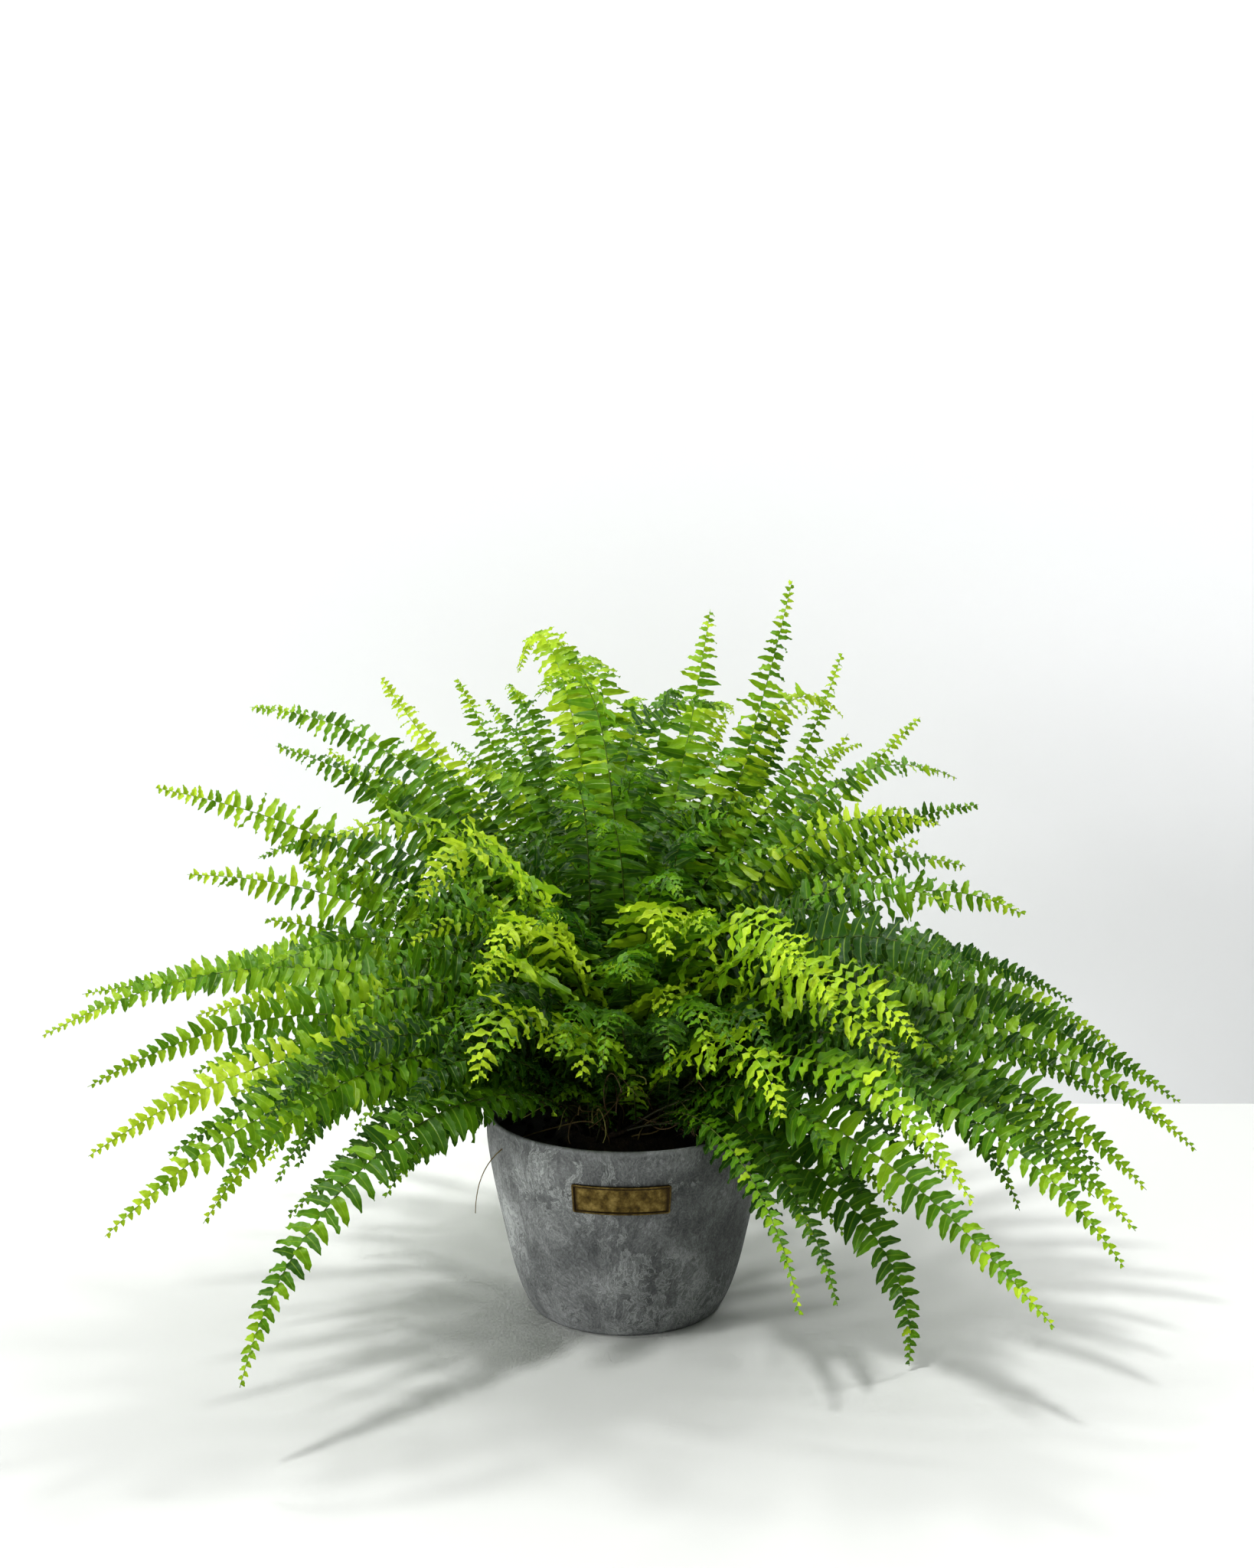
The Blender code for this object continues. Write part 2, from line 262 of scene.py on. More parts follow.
def makeFineGrain():
    # Small uneven spots at a size in metres, as a mask from 0 to 1.
    group, given, wanted = newGroup(
        "fineGrain",
        [("Place", "NodeSocketVector", None), ("Size", "NodeSocketFloat", 0.002),
         ("Contrast", "NodeSocketFloat", 0.5)],
        [("Mask", "NodeSocketFloat")],
    )
    scale = mathNode(group, "DIVIDE", 1.0, given.outputs["Size"])
    cloud = cloudNode(group, given.outputs["Place"], scale, 4.0)
    low = mathNode(group, "SUBTRACT", 0.5, times(group, given.outputs["Contrast"], 0.5))
    wide = addNode(group, "MapRange", {"Value": cloud, "From Min": 0.35, "From Max": 0.65, "To Min": low})
    group.links.new(wide.outputs[0], wanted.inputs["Mask"])
    return group


fineGrain = makeFineGrain()


def grainMask(tree, place, size, contrast):
    inputs = {"Place": place, "Size": size, "Contrast": contrast}
    return addNode(tree, "Group", inputs, node_tree=fineGrain).outputs["Mask"]


def makePiece(name, shape, materials, replaced=()):
    mesh = meshFrom(name, shape)
    for material in materials:
        mesh.materials.append(material)
    mesh.shade_smooth()
    piece = link(bpy.data.objects.new(name, mesh))
    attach(piece, "root")
    if replaced:
        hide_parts(*replaced)
    return piece


def setPoints(piece, places, tones):
    piece.data.vertices.foreach_set("co", np.concatenate(places).astype(np.float32).ravel())
    tone = piece.data.attributes.new("tone", "FLOAT", "POINT")
    tone.data.foreach_set("value", np.concatenate(tones).astype(np.float32))
    piece.data.update()


def spun(outline, sides):
    # A closed shape from (radius, height) points, turned about the upright axis.
    shape = bmesh.new()
    points = [shape.verts.new((radius, 0.0, height)) for radius, height in outline]
    edges = [shape.edges.new(pair) for pair in zip(points, points[1:])]
    bmesh.ops.spin(shape, geom=points + edges, cent=(0, 0, 0), axis=(0, 0, 1), angle=math.tau, steps=sides,
                   use_merge=True)
    bmesh.ops.remove_doubles(shape, verts=shape.verts, dist=1e-6)
    bmesh.ops.recalc_face_normals(shape, faces=shape.faces)
    return shape


def treeOf(thing):
    mesh = thing.data
    corners = [tuple(face.vertices) for face in mesh.polygons]
    return BVHTree.FromPolygons([point.co for point in mesh.vertices], corners)


def smoothRows(rows, count):
    # A curve through every row (Catmull-Rom), as so many evenly spaced steps along the list.
    rows = np.asarray(rows, float)
    padded = np.vstack([2 * rows[0] - rows[1], rows, 2 * rows[-1] - rows[-2]])
    place = np.linspace(0, len(rows) - 1, count)
    index = np.minimum(place.astype(int), len(rows) - 2)
    t = (place - index)[:, None]
    a, b, c, d = (padded[index + step] for step in range(4))
    return 0.5 * (2 * b + (c - a) * t + (2 * a - 5 * b + 4 * c - d) * t**2 + (3 * b - a - 3 * c + d) * t**3)


def lengths(rows):
    return np.linalg.norm(rows, axis=-1, keepdims=True)


def unit(rows):
    return rows / np.maximum(lengths(rows), 1e-9)

def turned(first, second, angle):
    # Two directions at right angles, both turned from the first towards the second.
    return first * np.cos(angle) + second * np.sin(angle), second * np.cos(angle) - first * np.sin(angle)


def between(limits, share):
    return limits[0] + (limits[1] - limits[0]) * share


def sinOf(degrees):
    return math.sin(math.radians(degrees))


def cosOf(degrees):
    return math.cos(math.radians(degrees))


# Planter

planter = {
    "sides": 144,
    "wallSteps": 46,
    "lipSteps": 8,
    "footRound": 0.0022,
    "dent": 0.00035,
    "dentSize": 0.045,
    "grit": 0.00012,
    "gritSize": 0.004,
    "smoothWithin": 0.02,  # nothing is dented nearer to the axis than this, or lower than the next
    "smoothBelow": 0.002,
    "gaugeShare": 0.9,  # share of the height at which the wall's thickness is measured
}


def stoneMaterial():
    material, tree, place = newMaterial("greyStone")
    warp = cloudNode(tree, place, 22.0, 4.0, 0.6, output="Color")
    drawn = addNode(tree, "Mix", {0: 0.035, 4: place, 5: warp}, data_type="VECTOR").outputs[1]
    color = rampNode(tree, cloudNode(tree, drawn, 26.0, 6.0, 0.62), [
        (0.30, (0.072, 0.076, 0.076)), (0.47, (0.116, 0.121, 0.121)), (0.60, (0.168, 0.174, 0.174)),
        (0.75, (0.27, 0.278, 0.282))])
    # short upright streaks
    streaks = cloudNode(tree, stretched(tree, place, (1.0, 1.0, 0.16)), 300.0, 4.0, 0.65)
    color = mixColors(tree, 0.45, color, rampNode(tree, streaks, [(0.33, 0.70), (0.66, 1.25)]), "MULTIPLY")
    speckle = cloudNode(tree, stretched(tree, drawn, (1.0, 1.0, 0.6)), 620.0, 4.0, 0.7)
    speckled = rampNode(tree, speckle, [(0.36, 0.55), (0.5, 0.95), (0.66, 1.55)])
    color = mixColors(tree, 0.8, color, speckled, "MULTIPLY")
    # pale, ragged scrapes, thicker low down on the left
    scrape = cloudNode(tree, stretched(tree, drawn, (1.0, 1.0, 0.42)), 62.0, 9.0, 0.74, 0.5)
    split = addNode(tree, "SeparateXYZ", {0: place})
    leftDown = plus(tree, times(tree, split.outputs["Z"], -0.75), times(tree, split.outputs["X"], -0.55))
    ragged = rampNode(tree, plus(tree, leftDown, scrape), [
        (0.440, 0.0), (0.462, 0.95), (0.485, 0.15), (0.535, 0.10), (0.560, 0.9), (0.62, 0.3)])
    where = rampNode(tree, cloudNode(tree, drawn, 14.0, 3.0), [(0.42, 0.08), (0.60, 1.0)])
    scraped = times(tree, ragged, where, clamp=True)
    color = mixColors(tree, scraped, color, (0.42, 0.44, 0.43))
    # small dark pits
    pits = addNode(tree, "TexVoronoi", {"Vector": drawn, "Scale": 260.0, "Randomness": 1.0})
    pitted = rampNode(tree, pits.outputs["Distance"], [(0.05, 0.55), (0.16, 1.0)])
    color = mixColors(tree, 0.6, color, pitted, "MULTIPLY")
    # the lip is rubbed a little paler, the foot is dusty
    share = times(tree, split.outputs["Z"], 1.0 / planter["height"])
    rubbed = rampNode(tree, share, [(0.0, 0.30), (0.05, 0.0), (0.975, 0.0), (0.99, 0.22)])
    color = mixColors(tree, rubbed, color, (0.34, 0.35, 0.36))
    grain = grainMask(tree, place, 0.0016, 0.8)
    height = plus(tree, times(tree, scraped, 0.6), times(tree, grain, 0.35))
    height = plus(tree, plus(tree, times(tree, streaks, 0.7), height), times(tree, pitted, 0.5))
    rough = plus(tree, times(tree, grain, 0.15), 0.62)
    finishPaint(tree, color, rough, bumped(tree, height, 0.55, 0.0006), **{"Specular IOR Level": 0.35})
    return material


def outerWall():
    # The CAD wall's (radius, height) points, from the foot up to where the lip starts.
    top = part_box("planter")[1].z
    planter["height"] = top
    tree = treeOf(nodes["planter"])
    heights = sorted({round(point.co.z, 6) for point in nodes["planter"].data.vertices})
    points = []
    for height in heights:
        hit = tree.ray_cast(Vector((1.0, 0.0, height)), Vector((-1.0, 0.0, 0.0)))[0]
        near = [point.co.x for point in nodes["planter"].data.vertices
                if abs(point.co.z - height) < 1e-6 and abs(point.co.y) < 1e-6 and point.co.x > 0.0]
        if hit is not None and near and abs(max(near) - hit.x) < 1e-5 and height > 0.0:
            points.append((hit.x, height))
    gauge = top * planter["gaugeShare"]
    inside = tree.ray_cast(Vector((0.0, 0.0, gauge)), Vector((1.0, 0.0, 0.0)))[0]
    outside = tree.ray_cast(Vector((1.0, 0.0, gauge)), Vector((-1.0, 0.0, 0.0)))[0]
    planter["wall"] = outside.x - inside.x
    planter["floor"] = tree.ray_cast(Vector((0.001, 0.001, top)), Vector((0.0, 0.0, -1.0)))[0].z
    lipStart = top - planter["wall"] / 2
    return [point for point in points if point[1] < lipStart + 1e-4]


def wallRadius(height):
    return float(np.interp(height, planter["heights"], planter["radii"]))


def makePlanter():
    rings = smoothRows(outerWall(), planter["wallSteps"])
    planter["radii"], planter["heights"] = rings[:, 0], rings[:, 1]
    wall, top, lip, foot = planter["wall"], planter["height"], planter["wall"] / 2, rings[0, 0]
    outline = [(0.0, 0.0), (foot * 0.6, 0.0), (foot - planter["footRound"], 0.0)]
    outline += [(radius, height) for radius, height in rings]
    for step in range(1, planter["lipSteps"] + 1):
        turn = math.pi * step / planter["lipSteps"]
        outline.append((rings[-1, 0] - lip + lip * math.cos(turn), top - lip + lip * math.sin(turn)))
    outline += [(radius - wall, height) for radius, height in rings[::-3] if height > planter["floor"]]
    outline.append((0.0, planter["floor"]))
    shape = spun(outline, planter["sides"])
    for point in shape.verts:
        flat = Vector((point.co.x, point.co.y, 0.0))
        if flat.length > planter["smoothWithin"] and point.co.z > planter["smoothBelow"]:
            push = noise.noise(point.co / planter["dentSize"]) * planter["dent"]
            push += noise.noise(point.co / planter["gritSize"]) * planter["grit"]
            point.co += flat.normalized() * (push - planter["dent"] * 0.6)
    makePiece("planterShell", shape, [stoneMaterial()], ["planter"])


makePlanter()
print("planter made: rim", round(planter["radii"][-1], 4), "wall", round(planter["wall"], 4))

# Name plate

plate = {
    "border": 0.0017,
    "recess": 0.0007,
    "corner": 0.0016,
    "edge": 0.0005,
    "gap": 0.0002,
    "cuts": (30, 8),  # along it and up it, so that it can bend
    "ripple": 0.00012,
    "rippleSize": 0.006,
}


def brassMaterial():
    material, tree, place = newMaterial("agedBrass")
    metalColor = rampNode(tree, cloudNode(tree, place, 130.0, 6.0, 0.65), [
        (0.32, (0.040, 0.026, 0.008)), (0.48, (0.135, 0.094, 0.026)), (0.68, (0.33, 0.245, 0.085))])
    color = mixColors(tree, ownNumber(tree, "grooved"), metalColor, (0.035, 0.022, 0.008))
    scratches = cloudNode(tree, stretched(tree, place, (0.12, 0.12, 1.0)), 1400.0, 2.0)
    grain = grainMask(tree, place, 0.0011, 0.9)
    rough = plus(tree, times(tree, grain, 0.22), 0.30)
    height = plus(tree, times(tree, scratches, 0.4), grain)
    finishPaint(tree, color, rough, bumped(tree, height, 0.35, 0.0003), Metallic=0.85)
    return material


def makePlate():
    # Made flat, then bent round the planter's wall.
    low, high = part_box("name_plate")
    middle = (low.z + high.z) / 2
    corners = np.array([point.co for point in nodes["name_plate"].data.vertices])
    angles = np.arctan2(corners[:, 1], corners[:, 0])
    bearing = (angles.max() + angles.min()) / 2
    radius = wallRadius(middle)
    half = Vector(((angles.max() - angles.min()) / 2 * radius, (high.z - low.z) / 2))
    thick = np.hypot(corners[:, 0], corners[:, 1]).max() - wallRadius(high.z) - plate["gap"]
    edge = plate["edge"]
    shape = bmesh.new()
    bmesh.ops.create_grid(shape, x_segments=1, y_segments=1, size=1.0)
    bmesh.ops.scale(shape, vec=(half.x, half.y, 1.0), verts=shape.verts)
    bmesh.ops.bevel(shape, geom=shape.verts[:], offset=plate["corner"], segments=5, profile=0.5,
                    affect="VERTICES", material=-1)
    lifted = bmesh.ops.extrude_face_region(shape, geom=shape.faces[:])["geom"]
    lifted = [item for item in lifted if isinstance(item, bmesh.types.BMVert)]
    bmesh.ops.translate(shape, vec=(0, 0, thick), verts=lifted)
    bmesh.ops.recalc_face_normals(shape, faces=shape.faces)
    around = [line for line in shape.edges if any(face.normal.z > 0.9 for face in line.link_faces)]
    bmesh.ops.bevel(shape, geom=around, offset=edge, segments=3, profile=0.5, affect="EDGES", material=-1)
    front = [max(shape.faces, key=lambda face: face.calc_area() * (face.normal.z > 0.9))]
    bmesh.ops.inset_region(shape, faces=front, thickness=plate["border"] - edge, use_even_offset=True)
    bmesh.ops.inset_region(shape, faces=front, thickness=edge, use_even_offset=True)
    bmesh.ops.translate(shape, vec=(0, 0, -plate["recess"]), verts=front[0].verts)
    for axis, cuts in enumerate(plate["cuts"]):
        for step in range(1, cuts):
            place, normal = Vector(), Vector()
            place[axis], normal[axis] = -half[axis] + 2 * half[axis] * step / cuts, 1.0
            whole = shape.verts[:] + shape.edges[:] + shape.faces[:]
            bmesh.ops.bisect_plane(shape, geom=whole, plane_co=place, plane_no=normal)
    grooved = shape.verts.layers.float.new("grooved")
    for point in shape.verts:
        inward = min(half.x - abs(point.co.x), half.y - abs(point.co.y))
        sunk = abs(inward - plate["border"] - 0.0004) < 0.0007
        point[grooved] = 1.0 if sunk or (inward < 0.0003 and point.co.z < thick * 0.9) else 0.0
    for point in shape.verts:
        across, up, out = point.co
        if out > thick * 0.5:
            out += noise.noise(Vector((across, up, 0.0)) / plate["rippleSize"]) * plate["ripple"]
        turn = bearing + across / radius
        reach = wallRadius(middle + up) + plate["gap"] + out
        point.co = Vector((reach * math.cos(turn), reach * math.sin(turn), middle + up))
    bmesh.ops.recalc_face_normals(shape, faces=shape.faces)
    piece = makePiece("plateFace", shape, [brassMaterial()], ["name_plate"])
    piece.data.set_sharp_from_angle(angle=math.radians(38.0))


makePlate()
print("plate made")

# Soil and crown

soil = {
    "rings": 26,
    "sides": 96,
    "depth": 0.018,
    "rise": 0.0022,
    "lumpSize": 0.011,
    "clodSize": 0.004,
    "gap": 0.001,
    "crumbs": 260,
    "crumbSize": (0.0012, 0.0042),
}

crown = {
    "sides": 84,
    "rings": 22,
    "knob": 0.0030,
    "knobSize": 0.0085,
    "gritSize": 0.003,
    "stubRadius": 0.0026,
    "stubLength": 0.016,
}


def soilMaterial():
    material, tree, place = newMaterial("pottingSoil")
    clods = cloudNode(tree, place, 240.0, 7.0, 0.7)
    color = rampNode(tree, clods, [
        (0.30, (0.004, 0.003, 0.002)), (0.55, (0.015, 0.010, 0.007)), (0.75, (0.045, 0.030, 0.020))])
    height = plus(tree, clods, times(tree, grainMask(tree, place, 0.0009, 1.0), 0.5))
    finishPaint(tree, color, 0.95, bumped(tree, height, 0.9, 0.0012))
    return material


def scatterBits(shape, reach, top, rng):
    # Crumbs lying on a level surface, each a rough ball of its own size and turn.
    for _ in range(soil["crumbs"]):
        width = rng.uniform(*soil["crumbSize"])
        distance = reach * math.sqrt(rng.uniform(0.02, 1.0))
        turn = rng.uniform(0.0, math.tau)
        made = bmesh.ops.create_icosphere(shape, subdivisions=1, radius=width)["verts"]
        for point in made:
            point.co *= 1.0 + 0.45 * noise.noise(point.co / width * 1.3 + Vector((turn * 7.0, 0, 0)))
            point.co.z *= 0.75
        place = (distance * math.cos(turn), distance * math.sin(turn), top + width * 0.3)
        bmesh.ops.translate(shape, verts=made, vec=place)


def makeSoil():
    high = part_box("soil")[1]
    top, bottom = high.z, high.z - soil["depth"]
    outline = [(high.x * step / soil["rings"], top) for step in range(soil["rings"] + 1)]
    outline += [(wallRadius(bottom) - planter["wall"] - soil["gap"], bottom), (0.0, bottom)]
    shape = spun(outline, soil["sides"])
    for point in shape.verts:
        if point.co.z > top - 1e-4:
            lump = noise.noise(point.co / soil["lumpSize"]) + 0.5 * noise.noise(point.co / soil["clodSize"])
            point.co.z += lump * soil["rise"]
    scatterBits(shape, high.x * 0.96, top + 0.0005, np.random.default_rng(3))
    bmesh.ops.recalc_face_normals(shape, faces=shape.faces)
    makePiece("soilBed", shape, [soilMaterial()], ["soil"])


def barkMaterial():
    material, tree, place = newMaterial("scalyRhizome")
    scales = addNode(tree, "TexVoronoi", {"Vector": stretched(tree, place, (1.0, 1.0, 0.45)), "Scale": 420.0})
    scaly = rampNode(tree, scales.outputs["Distance"], [(0.05, 1.15), (0.55, 0.45)])
    brown = rampNode(tree, cloudNode(tree, place, 120.0, 5.0), [
        (0.32, (0.014, 0.009, 0.005)), (0.66, (0.070, 0.042, 0.020))])
    color = mixColors(tree, 0.85, brown, scaly, "MULTIPLY")
    height = plus(tree, scaly, times(tree, grainMask(tree, place, 0.0010, 0.9), 0.4))
    finishPaint(tree, color, 0.85, bumped(tree, height, 0.8, 0.0010))
    return material


def makeCrown(bases):
    # The knobbly top of the rootstock, with a scaly stub where each frond leaves it.
    low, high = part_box("crown")
    outline = [(0.0, low.z)]
    for step in range(crown["rings"]):
        turn = 0.5 * math.pi * step / crown["rings"]
        outline.append((high.x * math.cos(turn), low.z + (high.z - low.z) * math.sin(turn)))
    shape = spun(outline + [(0.0, high.z)], crown["sides"])
    shape.normal_update()
    for point in shape.verts:
        if point.co.z > low.z + 1e-4:
            lump = abs(noise.noise(point.co / crown["knobSize"]))
            lump += 0.4 * noise.noise(point.co / crown["gritSize"])
            point.co += point.normal * (lump - 0.35) * crown["knob"]
    wide, long = crown["stubRadius"], crown["stubLength"]
    for base, along in bases:
        made = bmesh.ops.create_cone(shape, cap_ends=True, segments=7, radius1=wide, radius2=wide * 0.45,
                                     depth=long)["verts"]
        turn = Vector(along).to_track_quat("Z", "Y").to_matrix()
        for point in made:
            point.co = turn @ point.co + Vector(base) + Vector(along) * long * 0.25
    makePiece("rootstock", shape, [barkMaterial()], ["crown"])


makeSoil()
print("soil made")

# Fronds

frond = {
    "steps": 44,  # places along the midrib
    "stalkSides": 5,
    "stalkRadius": (0.0012, 0.00075, 0.00025),  # at the crown, above the bare part, at the tip
    "bareShare": 0.10,
    "tipSpacing": 0.0024,
    "fullHalfWidth": 0.022,  # where leaflets stand at their full spacing
    "leastWidth": 0.0045,
    "plumpness": 0.30,  # further width against length
    "leastHalf": 0.0025,
    "rowCount": 8,
    "columnCount": 4,
    "notch": 0.13,
}


def leafMaterial():
    material, tree, place = newMaterial("fernLeaf")
    flat = addNode(tree, "SeparateXYZ", {0: addNode(tree, "UVMap", uv_map="leafUV").outputs[0]})
    along, across = flat.outputs["X"], flat.outputs["Y"]
    uneven = times(tree, mathNode(tree, "SUBTRACT", cloudNode(tree, place, 75.0, 4.0, 0.6), 0.5), 0.34)
    ripe = plus(tree, ownNumber(tree, "tone"), uneven, clamp=True)
    color = rampNode(tree, ripe, [
        (0.00, (0.010, 0.042, 0.007)), (0.24, (0.024, 0.084, 0.004)), (0.50, (0.084, 0.235, 0.004)),
        (0.76, (0.270, 0.460, 0.007)), (1.00, (0.530, 0.700, 0.030))])
    # midrib, side veins that run forward from it, and a paler margin
    offset = mathNode(tree, "ABSOLUTE", mathNode(tree, "SUBTRACT", across, 0.5))
    midrib = rampNode(tree, offset, [(0.0, 1.0), (0.035, 0.55), (0.075, 0.0)])
    slanted = mathNode(tree, "SUBTRACT", times(tree, along, 15.0), times(tree, offset, 9.0))
    vein = mathNode(tree, "ABSOLUTE", mathNode(tree, "SINE", times(tree, slanted, math.pi)))
    veins = rampNode(tree, vein, [(0.0, 1.0), (0.30, 0.0)])
    margin = rampNode(tree, offset, [(0.43, 0.0), (0.50, 1.0)])
    lines = mathNode(tree, "MAXIMUM", times(tree, midrib, 0.45), times(tree, veins, 0.14))
    lines = mathNode(tree, "MAXIMUM", lines, times(tree, margin, 0.22))
    color = mixColors(tree, lines, color, (0.40, 0.56, 0.06))
    grain = grainMask(tree, place, 0.0012, 0.7)
    color = mixColors(tree, times(tree, grain, 0.14), color, (0.035, 0.13, 0.008))
    sunk = mathNode(tree, "MAXIMUM", midrib, times(tree, veins, 0.6))
    normal = bumped(tree, mathNode(tree, "SUBTRACT", times(tree, grain, 0.35), sunk), 0.45, 0.0005)
    rough = plus(tree, times(tree, grain, 0.16), 0.27)
    face = addNode(tree, "BsdfPrincipled", {"Base Color": color, "Roughness": rough, "Normal": normal,
                                            "Specular IOR Level": 0.30})
    # the light that comes through, yellower in young leaves
    young = mixColors(tree, 0.62, color, (0.42, 0.62, 0.02))
    glow = mixColors(tree, ripe, mixColors(tree, 0.5, color, (0.06, 0.30, 0.01)), young)
    through = addNode(tree, "BsdfTranslucent", {"Color": glow})
    leaf = addNode(tree, "MixShader", {0: 0.33, 1: face.outputs[0], 2: through.outputs[0]})
    finishMaterial(tree, leaf.outputs[0])
    return material


def hairyMaterial(name, toneShare, hairSize, hairShare, stops, grainSize, grainContrast, roughness, bump):
    # Stalks and runners: a colour by the tone attribute and a fine, hairy unevenness.
    material, tree, place = newMaterial(name)
    shade = plus(tree, times(tree, ownNumber(tree, "tone"), toneShare),
                 times(tree, cloudNode(tree, place, hairSize, 4.0), hairShare))
    grain = grainMask(tree, place, grainSize, grainContrast)
    finishPaint(tree, rampNode(tree, shade, stops), roughness, bumped(tree, grain, 0.5, bump))
    return material


leaf = leafMaterial()
stalk = hairyMaterial("frondStalk", 1.0, 320.0, 0.25, [
    (0.10, (0.016, 0.010, 0.005)), (0.40, (0.050, 0.055, 0.010)), (0.80, (0.14, 0.24, 0.020)),
    (1.0, (0.33, 0.50, 0.05))], 0.0008, 0.8, 0.5, 0.0004)


def makeLeafletTemplate():
    # A flat unit leaflet: X from 0 to 1 along it, Y from -1 to 1 across, with the same in its UV map.
    shape = bmesh.new()
    bmesh.ops.create_grid(shape, x_segments=frond["rowCount"], y_segments=frond["columnCount"], size=1.0)
    flat = shape.loops.layers.uv.new("leafUV")
    for point in shape.verts:
        share = (point.co.x + 1.0) / 2.0
        point.co.x = share - 0.05 * math.sin(math.tau * share)
    for face in shape.faces:
        for loop in face.loops:
            loop[flat].uv = (loop.vert.co.x, (loop.vert.co.y + 1.0) / 2.0)
    return meshFrom("leafletTemplate", shape)


def makeRodTemplate(name, cuts, sides):
    # A closed rod along X from 0 to 1, of unit radius.
    shape = bmesh.new()
    bmesh.ops.create_cone(shape, cap_ends=True, segments=sides, radius1=1.0, radius2=1.0, depth=1.0)
    long = [edge for edge in shape.edges if abs(edge.verts[0].co.z - edge.verts[1].co.z) > 0.5]
    bmesh.ops.subdivide_edges(shape, edges=long, cuts=cuts, use_grid_fill=True)
    for point in shape.verts:
        point.co = Vector((point.co.z + 0.5, point.co.x, point.co.y))
    bmesh.ops.recalc_face_normals(shape, faces=shape.faces)
    shape.loops.layers.uv.new("leafUV")
    return meshFrom(name, shape)


def meshPoints(mesh):
    flat = np.empty(len(mesh.vertices) * 3, np.float32)
    mesh.vertices.foreach_get("co", flat)
    return flat.reshape(-1, 3).astype(float)


leafletTemplate = makeLeafletTemplate()
stalkTemplate = makeRodTemplate("stalkTemplate", frond["steps"] - 2, frond["stalkSides"])
leafletShape = meshPoints(leafletTemplate)
stalkRod = meshPoints(stalkTemplate)
leafletRows = np.unique(np.round(leafletShape[:, 0], 5))
rowOf = np.array([int(np.argmin(abs(leafletRows - place))) for place in leafletShape[:, 0]])

# Half widths of a leaflet along its length: the edge towards the frond's tip, with its ear, and the other edge.
tipwardOutline = (
    (0.0, 0.75), (0.04, 1.14), (0.11, 1.20), (0.22, 0.92), (0.45, 0.76), (0.65, 0.62), (0.82, 0.42), (0.94, 0.20),
    (1.0, 0.04))
stemwardOutline = (
    (0.0, 0.45), (0.06, 0.82), (0.16, 0.90), (0.35, 0.84), (0.55, 0.74), (0.72, 0.56), (0.86, 0.34), (0.95, 0.16),
    (1.0, 0.03))


class Path:
    # A frond's midrib: places, its sideways and upward directions, and the blade's half width at each.
    def __init__(self, centres, sides, halves):
        self.centres, self.halves = centres, halves
        self.along = unit(np.gradient(centres, axis=0))
        self.side = unit(sides - self.along * (sides * self.along).sum(1, keepdims=True))
        self.up = np.cross(self.along, self.side)
        gaps = lengths(np.diff(centres, axis=0))[:, 0]
        self.run = np.concatenate([[0.0], np.cumsum(gaps)])
        self.length = self.run[-1]

    def at(self, rows, distance):
        return np.stack([np.interp(distance, self.run, rows[:, axis]) for axis in range(3)], axis=-1)


def cadPath(node):
    # Reads a CAD frond's rings of four points, from the crown to the tip.
    shape = bmesh.new()
    shape.from_mesh(node.data)
    bmesh.ops.remove_doubles(shape, verts=shape.verts, dist=1e-6)
    inner = [point for point in shape.verts if math.hypot(point.co.x, point.co.y) < 0.06]
    lowest = sorted(inner, key=lambda point: point.co.z)[:4]
    rings, seen = [lowest], set(lowest)
    while True:
        beyond = []
        for point in rings[-1]:
            for edge in point.link_edges:
                other = edge.other_vert(point)
                if other not in seen:
                    seen.add(other)
                    beyond.append(other)
        if not beyond:
            break
        rings.append(beyond)
    if any(len(ring) != 4 for ring in rings):
        raise RuntimeError(f"{node.name}: rings of {[len(ring) for ring in rings]} points")
    corners = np.array([[tuple(point.co) for point in ring] for ring in rings])
    shape.free()
    centres = corners.mean(axis=1)
    out = centres[-1] - centres[0]
    level = np.array((-out[1], out[0], 0.0))
    sides, halves = [], []
    for ring in corners:
        a, b = max(combinations(range(4), 2), key=lambda pair: np.linalg.norm(ring[pair[0]] - ring[pair[1]]))
        across = ring[a] - ring[b]
        sides.append(across * (1.0 if across @ level > 0 else -1.0))
        halves.append(np.linalg.norm(across) / 2)
    halves = np.array(halves)
    firstWide = int(np.argmax(halves > 0.003))
    for ring in range(firstWide):
        sides[ring] = sides[firstWide]
    count = frond["steps"]
    return Path(smoothRows(centres, count), smoothRows(unit(np.array(sides)), count),
                smoothRows(halves[:, None], count)[:, 0])


def pathBetween(first, second, mix, trim):
    # A frond that lies between two others, shorter than both.
    count = frond["steps"]
    keep = np.linspace(0.0, (count - 1) * trim, count)
    index = np.arange(count)

    def mixed(one, other):
        rows = one * (1 - mix) + other * mix
        return np.stack([np.interp(keep, index, rows[:, axis]) for axis in range(rows.shape[1])], axis=-1)

    halves = first.halves * (1 - mix) + second.halves * mix
    return Path(mixed(first.centres, second.centres), mixed(first.side, second.side), halves)


def rolled(path, degrees):
    # Turns a blade about its midrib, little at the crown and fully at the tip.
    turns = np.radians(degrees) * np.linspace(0.0, 1.0, frond["steps"])[:, None]**0.6
    return Path(path.centres, turned(path.side, path.up, turns)[0], path.halves)


